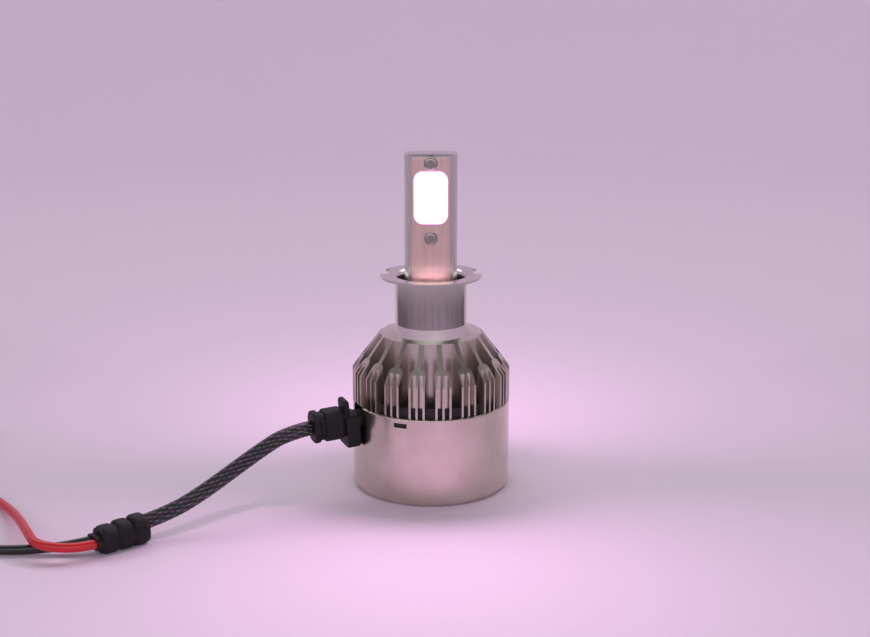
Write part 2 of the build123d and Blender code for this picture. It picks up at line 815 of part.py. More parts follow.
# Braided cable: from inside the strain relief down to inside the joint
neck_start = math.sqrt(shroud_bore**2 - (grommet_flange_width / 2) ** 2) - grommet_flange_thickness
neck_start = neck_start - sliding_gap
relief_root = radial_plane(grommet_angle, body_radius, grommet_level, grommet_droop)
body_start = grommet_plate_stand + grommet_plate_thickness + grommet_body_gap
ridge_start = body_start + grommet_body_length + grommet_groove
relief_length = ridge_start + grommet_ridge_length
cable_start = tuple(relief_root.offset(relief_length - cord_seat).origin)
joint_turn = math.radians(joint_angle)
joint_way = Vector(math.cos(joint_turn), math.sin(joint_turn), 0)
joint_side = Vector(-joint_way.Y, joint_way.X, 0)
joint_origin = Vector(joint_start[0], joint_start[1], 0)
cable_seat = joint_origin + joint_way * cord_seat
cable_end = (cable_seat.X, cable_seat.Y, joint_cable_height)
braided_cable = cord(
    "braided_cable",
    [
        cable_start,
        (-30.4, -13.9, 15.8),
        (-36.5, -19.0, 13.0),
        (-46.4, -27.6, 7.6),
        (-52.7, -31.0, 4.6),
        cable_end,
    ],
    cable_diameter,
)


def wire_seat(across):
    """Point inside the joint's far end, this far to the left of its middle, where a wire starts."""
    spot = joint_origin + joint_way * (joint_length + joint_boot_length - cord_seat) + joint_side * across
    return (spot.X, spot.Y, wire_height)


# Red and black wires: from the joint along the floor, the red one crossing over the black
wire_end_level = sleeve_height / 2
red_end = (-110.4, 11.5, wire_end_level)
black_end = (-119.6, 3.0, wire_end_level)
red_wire = cord(
    "red_wire",
    [
        wire_seat(wire_spacing / 2),
        (-67.2, -43.9, 2.6),
        (-72.0, -45.1, 2.9),
        (-76.8, -43.4, 3.1),
        (-79.4, -38.6, 3.2),
        (-83.0, -31.0, 2.6),
        (-87.0, -23.5, 1.8),
        (-91.5, -17.0, 1.2),
        (-98.5, -8.5, 1.1),
        (-110.4, 0.5, wire_end_level),
        red_end,
    ],
    wire_diameter,
)
black_wire = cord(
    "black_wire",
    [
        wire_seat(-wire_spacing / 2),
        (-70.5, -41.2, 1.8),
        (-78.1, -41.3, 1.0),
        (-86.0, -41.6, 1.0),
        (-96.0, -38.5, 1.0),
        (-105.0, -31.0, 1.0),
        (-114.5, -20.0, 1.0),
        (-119.6, -9.0, wire_end_level),
        black_end,
    ],
    wire_diameter,
)


def moulded_lump(plane, width, height, length, corner, end_round, rise=0):
    """Rubber block standing on this plane along its normal, raised in it, its end edges rounded."""
    with BuildPart() as lump:
        with BuildSketch(plane):
            with Locations((0, rise)):
                RectangleRounded(width, height, corner)
        extrude(amount=length)
        ends = lump.faces().filter_by(lambda face: abs(face.normal_at().dot(plane.z_dir)) > 1 - same_place)
        fillet(ends.edges(), end_round)
    return lump.part


# Strain relief: rubber moulded on the cable, a neck in the rim notch, a flange inside, lumps that droop
relief_lumps = [
    moulded_lump(
        relief_root.offset(grommet_root_gap), grommet_root_width, grommet_root_height,
        body_start - grommet_root_gap - grommet_body_gap, grommet_neck_corner, grommet_round,
        grommet_root_rise,
    ),
    moulded_lump(
        relief_root.offset(grommet_plate_stand), grommet_plate_width, grommet_plate_height,
        grommet_plate_thickness, grommet_plate_corner, grommet_round, grommet_plate_rise,
    ),
    moulded_lump(
        relief_root.offset(body_start), grommet_body_width, grommet_body_height,
        grommet_body_length, grommet_body_corner, grommet_round,
    ),
    moulded_lump(
        relief_root.offset(ridge_start), grommet_body_width, grommet_body_height,
        grommet_ridge_length, grommet_body_corner, grommet_round,
    ),
]
with BuildPart() as cable_grommet:
    with BuildSketch(radial_plane(grommet_angle, neck_start, grommet_level)):
        RectangleRounded(grommet_neck_width, grommet_neck_height, grommet_neck_corner)
    extrude(amount=body_radius + grommet_plate_stand + grommet_plate_thickness / 2 - neck_start)
    with BuildSketch(relief_root.offset(grommet_plate_stand + grommet_plate_thickness / 2)):
        RectangleRounded(grommet_neck_width, grommet_core_height, grommet_neck_corner)
    extrude(amount=ridge_start - grommet_plate_stand)
    with BuildSketch(radial_plane(grommet_angle, neck_start, grommet_level)):
        RectangleRounded(grommet_flange_width, grommet_flange_height, grommet_neck_corner)
    extrude(amount=grommet_flange_thickness)
    add(relief_lumps)
    add(braided_cable, mode=Mode.SUBTRACT)
cable_grommet.part.label = "cable_grommet"
export_step(cable_grommet.part, "parts/cable_grommet.step")

# Input leads: the cable's two cores run from the strain relief to pads under the driver board
with BuildPart() as input_leads:
    with BuildSketch(radial_plane(grommet_angle, input_lead_end, driver_face - input_lead_diameter / 2)):
        with GridLocations(input_lead_spacing, 1, 2, 1):
            Circle(input_lead_diameter / 2)
    extrude(amount=neck_start - input_lead_end)
input_leads.part.label = "input_leads"
export_step(input_leads.part, "parts/input_leads.step")

# Pigtail joint: block moulded on cable and wires, three rounded lobes on a slimmer core, a boot at the wires
lobe_length = joint_length / joint_lobe_count
lobe_fall = joint_fall / (joint_lobe_count - 1)
joint_lobes = []
for number in range(joint_lobe_count):
    lobe_height = joint_height - number * lobe_fall
    lobe_foot = joint_origin + joint_way * (number * lobe_length) + Vector(0, 0, lobe_height / 2)
    lobe_plane = Plane(lobe_foot, x_dir=joint_side, z_dir=joint_way)
    joint_lobes.append(
        moulded_lump(lobe_plane, joint_width, lobe_height, lobe_length, joint_corner, joint_round)
    )
with BuildPart() as cable_joint:
    with BuildSketch(Plane(joint_origin, x_dir=joint_side, z_dir=joint_way)):
        with Locations((0, (joint_height - joint_fall) / 2)):
            RectangleRounded(
                joint_width - 2 * joint_lobe_depth,
                joint_height - joint_fall - 2 * joint_lobe_depth,
                joint_corner - joint_lobe_depth,
            )
    extrude(amount=joint_length)
    with BuildSketch(Plane(joint_origin, x_dir=joint_side, z_dir=joint_way)):
        with Locations((0, wire_height)):
            SlotOverall(
                wire_spacing + wire_diameter + 2 * joint_boot_wall, wire_diameter + 2 * joint_boot_wall
            )
    extrude(amount=joint_length + joint_boot_length)
    add(joint_lobes)
    add([braided_cable, red_wire, black_wire], mode=Mode.SUBTRACT)
cable_joint.part.label = "cable_joint"
export_step(cable_joint.part, "parts/cable_joint.step")

# Terminals: each wire ends in a crimped blade under an insulating sleeve, flat on the floor
for colour, wire_end in (("red", red_end), ("black", black_end)):
    mouth = Plane(wire_end, x_dir=(-1, 0, 0), z_dir=(0, 1, 0))
    blade_start = terminal_barrel_length - terminal_blade_seat
    blade_end = sleeve_length - sleeve_lap + terminal_blade_length
    with BuildPart() as terminal:
        with BuildSketch(Plane(wire_end)) as blade_outline:
            with Locations((0, (blade_start + blade_end) / 2)):
                Rectangle(terminal_blade_width, blade_end - blade_start)
            chamfer(blade_outline.vertices().group_by(Axis.Y)[-1], terminal_nose)
            with Locations((0, blade_end - terminal_hole_setback)):
                Circle(terminal_hole_radius, mode=Mode.SUBTRACT)
        extrude(amount=terminal_blade_sheet / 2, both=True)
        with BuildSketch(mouth):
            Circle(terminal_barrel_radius)
        extrude(amount=terminal_barrel_length)
    terminal.part.label = f"{colour}_terminal"
    export_step(terminal.part, f"parts/{colour}_terminal.step")
    with BuildPart() as terminal_sleeve:
        with BuildSketch(mouth.offset(-sleeve_lap)):
            RectangleRounded(sleeve_width, sleeve_height, sleeve_corner)
            RectangleRounded(
                sleeve_width - 2 * sleeve_wall,
                sleeve_height - 2 * sleeve_wall,
                sleeve_corner - sleeve_wall,
                mode=Mode.SUBTRACT,
            )
        extrude(amount=sleeve_length)
    terminal_sleeve.part.label = f"{colour}_terminal_sleeve"
    export_step(terminal_sleeve.part, f"parts/{colour}_terminal_sleeve.step")
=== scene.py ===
import math

import bpy
import numpy as np
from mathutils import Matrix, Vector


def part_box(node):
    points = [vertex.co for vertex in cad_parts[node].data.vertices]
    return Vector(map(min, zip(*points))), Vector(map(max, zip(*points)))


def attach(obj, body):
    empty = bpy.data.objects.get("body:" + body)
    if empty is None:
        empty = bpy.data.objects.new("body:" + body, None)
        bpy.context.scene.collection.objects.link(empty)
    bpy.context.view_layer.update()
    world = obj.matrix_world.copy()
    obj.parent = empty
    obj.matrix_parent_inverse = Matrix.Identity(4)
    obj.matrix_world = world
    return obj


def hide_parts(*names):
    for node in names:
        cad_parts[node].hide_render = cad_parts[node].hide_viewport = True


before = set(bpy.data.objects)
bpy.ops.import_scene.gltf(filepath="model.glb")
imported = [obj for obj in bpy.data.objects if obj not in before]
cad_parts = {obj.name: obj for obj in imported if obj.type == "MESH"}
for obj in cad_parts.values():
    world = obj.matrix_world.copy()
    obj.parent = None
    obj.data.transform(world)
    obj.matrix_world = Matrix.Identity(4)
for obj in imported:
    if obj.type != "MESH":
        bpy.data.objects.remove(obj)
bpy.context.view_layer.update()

# Heatsink: an aluminium extrusion with tree fins round a core, cut off and turned on the outside to a
# cylinder and a cone. It is left bare, so the walls keep the die's lines and the outside the tool's.


def linear(code):
    """sRGB hex to linear RGBA: c / 12.92 near black, else ((c + 0.055) / 1.055) to the power 2.4."""
    share = np.array([int(code[i : i + 2], 16) for i in (1, 3, 5)]) / 255
    curve = np.where(share <= 0.04045, share / 12.92, ((share + 0.055) / 1.055) ** 2.4)
    return (*curve.tolist(), 1.0)


def add_node(tree, kind, inputs=None, **settings):
    """Add one node: settings are its own options, inputs are constants or sockets, by name or number."""
    node = tree.nodes.new("ShaderNode" + kind)
    for name, value in settings.items():
        setattr(node, name, value)
    for name, value in (inputs or {}).items():
        if isinstance(value, bpy.types.NodeSocket):
            tree.links.new(value, node.inputs[name])
        else:
            node.inputs[name].default_value = value
    return node


def start_material(name, sockets):
    """A material of this name, with the constants of its surface shader set, and its tree and shader."""
    material = bpy.data.materials.new(name)
    material.use_nodes = True
    shader = material.node_tree.nodes["Principled BSDF"]
    for socket, value in sockets.items():
        shader.inputs[socket].default_value = value
    return material, material.node_tree, shader


def dress(material, *names):
    """Put this material on these CAD nodes."""
    for name in names:
        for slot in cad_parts[name].material_slots:
            slot.material = material


# Bare extruded aluminium, turned: fine rings on the turned cylinder and cone, which are a little uneven in
# tone, and lengthwise lines on the pale skin that the die leaves between the fins. The rings are drawn at
# 0.45 mm, coarser than real. A wave texture repeats after 0.3142 divided by its scale.
heatsink_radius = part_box("heatsink")[1].x
turned_inner, turned_outer = heatsink_radius - 0.0003, heatsink_radius - 0.0001
ring_pitch, die_line_width, patch_size = 0.00045, 0.00035, 0.004
wave_repeat = 0.3142
bare_aluminium, tree, shader = start_material("extruded_turned_aluminium", {"Metallic": 1.0})
surface = add_node(tree, "TexCoord").outputs
place = surface["Object"]
flat_place = add_node(tree, "VectorMath", {0: place, 1: (1, 1, 0)}, operation="MULTIPLY").outputs[0]
from_axis = add_node(tree, "VectorMath", {0: flat_place}, operation="LENGTH").outputs["Value"]
on_cylinder = add_node(
    tree, "MapRange", {"Value": from_axis, "From Min": turned_inner, "From Max": turned_outer}
).outputs["Result"]
upward = add_node(
    tree, "VectorMath", {0: surface["Normal"], 1: (0, 0, 1)}, operation="DOT_PRODUCT"
).outputs["Value"]
on_cone = add_node(tree, "MapRange", {"Value": upward, "From Min": 0.3, "From Max": 0.5}).outputs["Result"]
turned_share = add_node(tree, "Math", {0: on_cylinder, 1: on_cone}, operation="MAXIMUM").outputs["Value"]
rings = add_node(
    tree, "TexWave", {"Vector": place, "Scale": wave_repeat / ring_pitch, "Distortion": 0.4, "Detail": 2.0},
    bands_direction="Z",
).outputs["Fac"]
drawn_place = add_node(tree, "Mapping", {"Vector": place, "Scale": (1, 1, 0.015)}).outputs["Vector"]
die_lines = add_node(
    tree, "TexNoise", {"Vector": drawn_place, "Scale": 1 / die_line_width, "Detail": 3.0}
).outputs["Fac"]
marks = add_node(
    tree, "Mix", {"Factor": turned_share, "A": die_lines, "B": rings}, data_type="FLOAT"
).outputs["Result"]
patches = add_node(
    tree, "TexNoise", {"Vector": place, "Scale": 1 / patch_size, "Detail": 4.0}
).outputs["Fac"]
tone = add_node(tree, "ValToRGB", {"Fac": patches})
tone.color_ramp.elements[0].position = 0.3
tone.color_ramp.elements[0].color = linear("#C4BBB2")
tone.color_ramp.elements[1].position = 0.7
tone.color_ramp.elements[1].color = linear("#D9D0C6")
skin = add_node(
    tree, "Mix", {"Factor": turned_share, 6: linear("#D9D1C8"), 7: tone.outputs["Color"]}, data_type="RGBA"
).outputs[2]
tree.links.new(skin, shader.inputs["Base Color"])
rough = add_node(tree, "MapRange", {"Value": marks, "To Min": 0.28, "To Max": 0.34}).outputs["Result"]
tree.links.new(rough, shader.inputs["Roughness"])
relief = add_node(tree, "Bump", {"Height": marks, "Strength": 0.03, "Distance": 0.00002}).outputs["Normal"]
tree.links.new(relief, shader.inputs["Normal"])
dress(bare_aluminium, "heatsink")

# LED post: a round aluminium bar with two milled flats, pressed into the heatsink's core. The bar is
# drawn, so faint straight lines run along it, and its sawn end is faced off smooth.
drawn_line_width = 0.0004
post_aluminium, tree, shader = start_material(
    "drawn_milled_aluminium", {"Base Color": linear("#CDC9C6"), "Metallic": 1.0}
)
surface = add_node(tree, "TexCoord").outputs
drawn_place = add_node(
    tree, "Mapping", {"Vector": surface["Object"], "Scale": (1, 1, 0.02)}
).outputs["Vector"]
along_lines = add_node(
    tree, "TexNoise", {"Vector": drawn_place, "Scale": 1 / drawn_line_width, "Detail": 4.0}
).outputs["Fac"]
upward = add_node(
    tree, "VectorMath", {0: surface["Normal"], 1: (0, 0, 1)}, operation="DOT_PRODUCT"
).outputs["Value"]
cut_end = add_node(tree, "MapRange", {"Value": upward, "From Min": 0.1, "From Max": 0.4}).outputs["Result"]
drawn_lines = add_node(
    tree, "Mix", {"Factor": cut_end, "A": along_lines, "B": 0.5}, data_type="FLOAT"
).outputs["Result"]
rough = add_node(tree, "MapRange", {"Value": drawn_lines, "To Min": 0.2, "To Max": 0.36}).outputs["Result"]
tree.links.new(rough, shader.inputs["Roughness"])
relief = add_node(
    tree, "Bump", {"Height": drawn_lines, "Strength": 0.2, "Distance": 0.00002}
).outputs["Normal"]
tree.links.new(relief, shader.inputs["Normal"])
dress(post_aluminium, "led_post")

# LED boards: bare copper-core plates, one screwed to each flat of the post with paste behind it.
# The rolled copper is pale from its clear finish and a little uneven in tone.
rolled_line_width = 0.0006
board_copper, tree, shader = start_material("rolled_copper_board", {"Metallic": 1.0})
place = add_node(tree, "TexCoord").outputs["Object"]
rolled_place = add_node(tree, "Mapping", {"Vector": place, "Scale": (1, 1, 0.05)}).outputs["Vector"]
rolled = add_node(
    tree, "TexNoise", {"Vector": rolled_place, "Scale": 1 / rolled_line_width, "Detail": 4.0}
).outputs["Fac"]
tone = add_node(tree, "ValToRGB", {"Fac": rolled})
tone.color_ramp.elements[0].position = 0.25
tone.color_ramp.elements[0].color = linear("#E4C6B8")
tone.color_ramp.elements[1].position = 0.75
tone.color_ramp.elements[1].color = linear("#F0D9CE")
tree.links.new(tone.outputs["Color"], shader.inputs["Base Color"])
rough = add_node(tree, "MapRange", {"Value": rolled, "To Min": 0.28, "To Max": 0.42}).outputs["Result"]
tree.links.new(rough, shader.inputs["Roughness"])
dress(board_copper, "led_board_front", "led_board_rear")

# Emitters: LED chips under a pad of silicone filled with phosphor, one on each board. Lit, the middle is
# too bright to look at and the rim shows the pink of the light.
emitter_low, emitter_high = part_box("led_emitter_front")
emitter_middle = (0, 0, (emitter_low.z + emitter_high.z) / 2)
emitter_half = ((emitter_high.x - emitter_low.x) / 2, 0, (emitter_high.z - emitter_low.z) / 2)
emitter_corner, glow_start = 0.002, 0.0010
lit_phosphor, tree, shader = start_material(
    "lit_phosphor_silicone", {"Base Color": linear("#F6E7F0"), "Roughness": 0.35, "Emission Strength": 2.6}
)
place = add_node(tree, "TexCoord").outputs["Object"]
from_middle = add_node(
    tree, "VectorMath", {0: place, 1: emitter_middle}, operation="SUBTRACT"
).outputs[0]
on_face = add_node(tree, "VectorMath", {0: from_middle, 1: (1, 0, 1)}, operation="MULTIPLY").outputs[0]
mirrored = add_node(tree, "VectorMath", {0: on_face}, operation="ABSOLUTE").outputs[0]
corner_centre = (emitter_half[0] - emitter_corner, 0, emitter_half[2] - emitter_corner)
past_corner = add_node(
    tree, "VectorMath", {0: mirrored, 1: corner_centre}, operation="SUBTRACT"
).outputs[0]
outside_corner = add_node(
    tree, "VectorMath", {0: past_corner, 1: (0, 0, 0)}, operation="MAXIMUM"
).outputs[0]
rim = add_node(tree, "VectorMath", {0: outside_corner}, operation="LENGTH").outputs["Value"]
glow = add_node(
    tree, "MapRange", {"Value": rim, "From Min": glow_start, "From Max": emitter_corner}
).outputs["Result"]
glow_tone = add_node(tree, "ValToRGB", {"Fac": glow})
glow_tone.color_ramp.elements[0].position = 0.1
glow_tone.color_ramp.elements[0].color = linear("#FFEFFB")
glow_tone.color_ramp.elements[1].position = 1.0
glow_tone.color_ramp.elements[1].color = linear("#C46ABF")
tree.links.new(glow_tone.outputs["Color"], shader.inputs["Emission Color"])
dress(lit_phosphor, "led_emitter_front", "led_emitter_rear")

# Screws: small pan-head steel screws with a cross recess, zinc plated. They hold the boards on the post
# and the driver under the core. The plating is bright and finely grained.
zinc_grain = 0.0003
screw_zinc, tree, shader = start_material(
    "zinc_plated_steel", {"Base Color": linear("#A9A6A4"), "Metallic": 1.0}
)
place = add_node(tree, "TexCoord").outputs["Object"]
grain = add_node(
    tree, "TexNoise", {"Vector": place, "Scale": 1 / zinc_grain, "Detail": 3.0}
).outputs["Fac"]
rough = add_node(tree, "MapRange", {"Value": grain, "To Min": 0.22, "To Max": 0.42}).outputs["Result"]
tree.links.new(rough, shader.inputs["Roughness"])
dress(screw_zinc, "board_screws", "driver_screws")

# Mount collar: one drawn steel sheet, a disc at the top, a sleeve and a flared foot pressed on the
# heatsink's spigot. Its bright tin plate shows faint draw lines down the sleeve.
draw_line_width, tin_cloud = 0.0005, 0.005
bright_tin, tree, shader = start_material("drawn_tin_plate", {"Metallic": 1.0})
place = add_node(tree, "TexCoord").outputs["Object"]
drawn_place = add_node(tree, "Mapping", {"Vector": place, "Scale": (1, 1, 0.04)}).outputs["Vector"]
draw_lines = add_node(
    tree, "TexNoise", {"Vector": drawn_place, "Scale": 1 / draw_line_width, "Detail": 4.0}
).outputs["Fac"]
clouds = add_node(
    tree, "TexNoise", {"Vector": place, "Scale": 1 / tin_cloud, "Detail": 3.0}
).outputs["Fac"]
tone = add_node(tree, "ValToRGB", {"Fac": clouds})
tone.color_ramp.elements[0].position = 0.3
tone.color_ramp.elements[0].color = linear("#D6D0C9")
tone.color_ramp.elements[1].position = 0.7
tone.color_ramp.elements[1].color = linear("#E4DFD9")
tree.links.new(tone.outputs["Color"], shader.inputs["Base Color"])
rough = add_node(tree, "MapRange", {"Value": draw_lines, "To Min": 0.15, "To Max": 0.25}).outputs["Result"]
tree.links.new(rough, shader.inputs["Roughness"])
dress(bright_tin, "mount_collar")

# Fan shroud: a drawn aluminium cup clipped over the fan, silver anodised to a satin gloss.
# The fine etched grain under the oxide gives soft, slightly uneven reflections.
etch_grain, oxide_cloud = 0.0002, 0.006
satin_shroud, tree, shader = start_material("satin_anodised_aluminium", {"Metallic": 1.0})
place = add_node(tree, "TexCoord").outputs["Object"]
etched = add_node(
    tree, "TexNoise", {"Vector": place, "Scale": 1 / etch_grain, "Detail": 2.0}
).outputs["Fac"]
clouds = add_node(
    tree, "TexNoise", {"Vector": place, "Scale": 1 / oxide_cloud, "Detail": 4.0}
).outputs["Fac"]
tone = add_node(tree, "ValToRGB", {"Fac": clouds})
tone.color_ramp.elements[0].position = 0.3
tone.color_ramp.elements[0].color = linear("#CABEB2")
tone.color_ramp.elements[1].position = 0.7
tone.color_ramp.elements[1].color = linear("#D8CDC2")
tree.links.new(tone.outputs["Color"], shader.inputs["Base Color"])
rough = add_node(tree, "MapRange", {"Value": etched, "To Min": 0.17, "To Max": 0.27}).outputs["Result"]
tree.links.new(rough, shader.inputs["Roughness"])
relief = add_node(tree, "Bump", {"Height": etched, "Strength": 0.08, "Distance": 0.00001}).outputs["Normal"]
tree.links.new(relief, shader.inputs["Normal"])
dress(satin_shroud, "fan_shroud")

# Carrier ring, fan frame and rotor: black glass-filled plastic, moulded matt. The ring's hooks show in
# the shroud's windows, and the frame and blades through the grille. The driver's chip is moulded alike.
spark_grain = 0.0002
moulded_black, tree, shader = start_material(
    "moulded_black_plastic", {"Base Color": linear("#1B1B1D"), "IOR": 1.5}
)
place = add_node(tree, "TexCoord").outputs["Object"]
spark = add_node(
    tree, "TexNoise", {"Vector": place, "Scale": 1 / spark_grain, "Detail": 2.0}
).outputs["Fac"]
rough = add_node(tree, "MapRange", {"Value": spark, "To Min": 0.42, "To Max": 0.62}).outputs["Result"]
tree.links.new(rough, shader.inputs["Roughness"])
relief = add_node(tree, "Bump", {"Height": spark, "Strength": 0.15, "Distance": 0.00002}).outputs["Normal"]
tree.links.new(relief, shader.inputs["Normal"])
dress(moulded_black, "carrier_ring", "fan_frame", "fan_rotor", "driver_chip")

# Driver and fan circuit boards: glass-epoxy laminate under dark green solder mask, the one screwed under
# the heatsink's core, the other pressed into the fan's frame. The weave shows faintly in the glossy mask.
glass_weave = 0.0006
solder_mask, tree, shader = start_material("dark_green_solder_mask", {"Roughness": 0.35, "IOR": 1.5})
place = add_node(tree, "TexCoord").outputs["Object"]
weave = add_node(
    tree, "TexWave", {"Vector": place, "Scale": wave_repeat / glass_weave, "Distortion": 0.6},
    bands_direction="DIAGONAL",
).outputs["Fac"]
tone = add_node(tree, "ValToRGB", {"Fac": weave})
tone.color_ramp.elements[0].color = linear("#0A2A1C")
tone.color_ramp.elements[1].color = linear("#0E3624")
tree.links.new(tone.outputs["Color"], shader.inputs["Base Color"])
dress(solder_mask, "driver_board", "fan_circuit")

# Driver's inductor and the rotor's magnet: pressed and sintered ferrite, the one on the driver's board, the
# other pressed into the rotor. It is dark grey, dull and slightly grainy.
ferrite_grain = 0.0003
sintered_ferrite, tree, shader = start_material("sintered_ferrite", {"Roughness": 0.6})
place = add_node(tree, "TexCoord").outputs["Object"]
grain = add_node(
    tree, "TexNoise", {"Vector": place, "Scale": 1 / ferrite_grain, "Detail": 4.0}
).outputs["Fac"]
tone = add_node(tree, "ValToRGB", {"Fac": grain})
tone.color_ramp.elements[0].color = linear("#2B2B2E")
tone.color_ramp.elements[1].color = linear("#3F3F43")
tree.links.new(tone.outputs["Color"], shader.inputs["Base Color"])
dress(sintered_ferrite, "driver_inductor", "rotor_magnet")

# Capacitor cans, stator sheets and the rotor's shaft: plain bright metals, drawn, stamped and ground.
# Fine parallel marks streak their gloss.
grind_pitch = 0.0003
ground_metal, tree, shader = start_material(
    "ground_bright_metal", {"Base Color": linear("#B4B4B8"), "Metallic": 1.0}
)
place = add_node(tree, "TexCoord").outputs["Object"]
ground = add_node(
    tree, "TexWave", {"Vector": place, "Scale": wave_repeat / grind_pitch, "Distortion": 1.0},
    bands_direction="Z",
).outputs["Fac"]
rough = add_node(tree, "MapRange", {"Value": ground, "To Min": 0.2, "To Max": 0.34}).outputs["Result"]
tree.links.new(rough, shader.inputs["Roughness"])
dress(ground_metal, "driver_capacitors", "stator_core", "rotor_shaft")

# Fan bearing and coils: porous bronze pressed into the fan's frame, and enamelled copper wire wound on the
# stator's arms. Both are painted in fine light and dark lines at the winding's pitch: a painted highlight
# on each turn and painted shade where one turn meets the next.
winding_pitch = 0.00025
wound_copper, tree, shader = start_material("enamelled_copper_wire", {"Metallic": 1.0, "Roughness": 0.3})
place = add_node(tree, "TexCoord").outputs["Object"]
# Light and dark copper bands at the winding pitch: painted highlight and painted shade, not the wire's own
# colour.
turn_highlight_and_shade = add_node(
    tree, "TexWave", {"Vector": place, "Scale": wave_repeat / winding_pitch}, bands_direction="Z"
).outputs["Fac"]
tone = add_node(tree, "ValToRGB", {"Fac": turn_highlight_and_shade})
tone.color_ramp.elements[0].color = linear("#7C4420")
tone.color_ramp.elements[1].color = linear("#C47B45")
tree.links.new(tone.outputs["Color"], shader.inputs["Base Color"])
dress(wound_copper, "stator_coils", "fan_bearing")

# Inner leads: stranded wire in thin white insulation, from the driver to the LEDs, the fan and the cable.
# The extruded insulation is smooth and a little uneven in its white.
tint_patch = 0.002
white_insulation, tree, shader = start_material(
    "white_wire_insulation", {"Roughness": 0.4, "IOR": 1.5}
)
place = add_node(tree, "TexCoord").outputs["Object"]
tint = add_node(tree, "TexNoise", {"Vector": place, "Scale": 1 / tint_patch, "Detail": 2.0}).outputs["Fac"]
tone = add_node(tree, "ValToRGB", {"Fac": tint})
tone.color_ramp.elements[0].color = linear("#CFCAC0")
tone.color_ramp.elements[1].color = linear("#E4E0D8")
tree.links.new(tone.outputs["Color"], shader.inputs["Base Color"])
dress(white_insulation, "led_leads", "fan_leads", "input_leads")

# Strain relief and pigtail joint: soft black rubber moulded on the cable, with a faint bloom.
# It looks nearly black, with broad dull highlights along its rounded edges.
bloom_patch, rubber_grain = 0.0015, 0.00025
moulded_rubber, tree, shader = start_material("moulded_black_rubber", {"Specular IOR Level": 0.3})
place = add_node(tree, "TexCoord").outputs["Object"]
bloom = add_node(
    tree, "TexNoise", {"Vector": place, "Scale": 1 / bloom_patch, "Detail": 4.0}
).outputs["Fac"]
tone = add_node(tree, "ValToRGB", {"Fac": bloom})
tone.color_ramp.elements[0].position = 0.3
tone.color_ramp.elements[0].color = linear("#100F12")
tone.color_ramp.elements[1].position = 0.75
tone.color_ramp.elements[1].color = linear("#1A191C")
tree.links.new(tone.outputs["Color"], shader.inputs["Base Color"])
grain = add_node(
    tree, "TexNoise", {"Vector": place, "Scale": 1 / rubber_grain, "Detail": 2.0}
).outputs["Fac"]
rough = add_node(tree, "MapRange", {"Value": grain, "To Min": 0.48, "To Max": 0.66}).outputs["Result"]
tree.links.new(rough, shader.inputs["Roughness"])
relief = add_node(tree, "Bump", {"Height": grain, "Strength": 0.2, "Distance": 0.00002}).outputs["Normal"]
tree.links.new(relief, shader.inputs["Normal"])
dress(moulded_rubber, "cable_grommet", "cable_joint")

# Braided cable: two cores side by side in a sleeve of woven nylon thread, black with every other thread of
# one slant grey, a marker colour that also stands in for the sheen flecks on the weave: painted highlight.
# It leaves the strain relief and slopes down to the joint on the floor.
cable_route = [
    (-0.0241838, -0.0097709, 0.0158567),
    (-0.0304, -0.0139, 0.0158),
    (-0.0365, -0.0190, 0.0130),
    (-0.0464, -0.0276, 0.0076),
    (-0.0527, -0.0310, 0.0046),
    (-0.0583239, -0.0354738, 0.0039),
]


def cord_curve(name, route, bevel=0.0):
    """A cord's line: a quadratic NURBS spline with the route's points as its control points."""
    curve = bpy.data.curves.new(name, "CURVE")
    curve.dimensions = "3D"
    curve.resolution_u = 24
    curve.bevel_depth = bevel
    curve.bevel_resolution = 6
    curve.use_fill_caps = True
    spline = curve.splines.new("NURBS")
    spline.points.add(len(route) - 1)
    spline.points.foreach_set("co", np.c_[np.array(route), np.ones(len(route))].ravel())
    spline.order_u = 3
    spline.use_endpoint_u = True
    piece = bpy.data.objects.new(name, curve)
    bpy.context.scene.collection.objects.link(piece)
    return piece


def read_line(piece, count):
    """Points at equal steps along a curve with no bevel: its polyline, resampled by length along it."""
    mesh = bpy.data.meshes.new_from_object(piece)
    points = np.empty(len(mesh.vertices) * 3)
    mesh.vertices.foreach_get("co", points)
    points = points.reshape(-1, 3)
    along = np.r_[0, np.cumsum(np.linalg.norm(np.diff(points, axis=0), axis=1))]
    steps = np.linspace(0, along[-1], count)
    bpy.data.meshes.remove(mesh)
    return np.stack([np.interp(steps, along, points[:, axis]) for axis in range(3)], axis=1), steps


def tube_mesh(name, grid):
    """Closed mesh from a grid of points, rings by points round a ring, with a fan over each end ring."""
    rings, around, _ = grid.shape
    ring, spot = np.meshgrid(np.arange(rings - 1), np.arange(around), indexing="ij")
    beside = (spot + 1) % around
    here, ahead = ring * around, (ring + 1) * around
    quads = np.stack([here + spot, here + beside, ahead + beside, ahead + spot], axis=-1).reshape(-1, 4)
    turn = np.arange(around)
    following = (turn + 1) % around
    first_middle, last_middle = np.full(around, rings * around), np.full(around, rings * around + 1)
    last_ring = (rings - 1) * around
    first = np.stack([first_middle, following, turn], axis=1)
    last = np.stack([last_middle, last_ring + turn, last_ring + following], axis=1)
    points = np.concatenate([grid.reshape(-1, 3), grid[0].mean(0)[None], grid[-1].mean(0)[None]])
    mesh = bpy.data.meshes.new(name)
    mesh.from_pydata(points.tolist(), [], quads.tolist() + first.tolist() + last.tolist())
    mesh.polygons.foreach_set("use_smooth", np.ones(len(mesh.polygons), bool))
    mesh.update()
    piece = bpy.data.objects.new(name, mesh)
    bpy.context.scene.collection.objects.link(piece)
    return piece


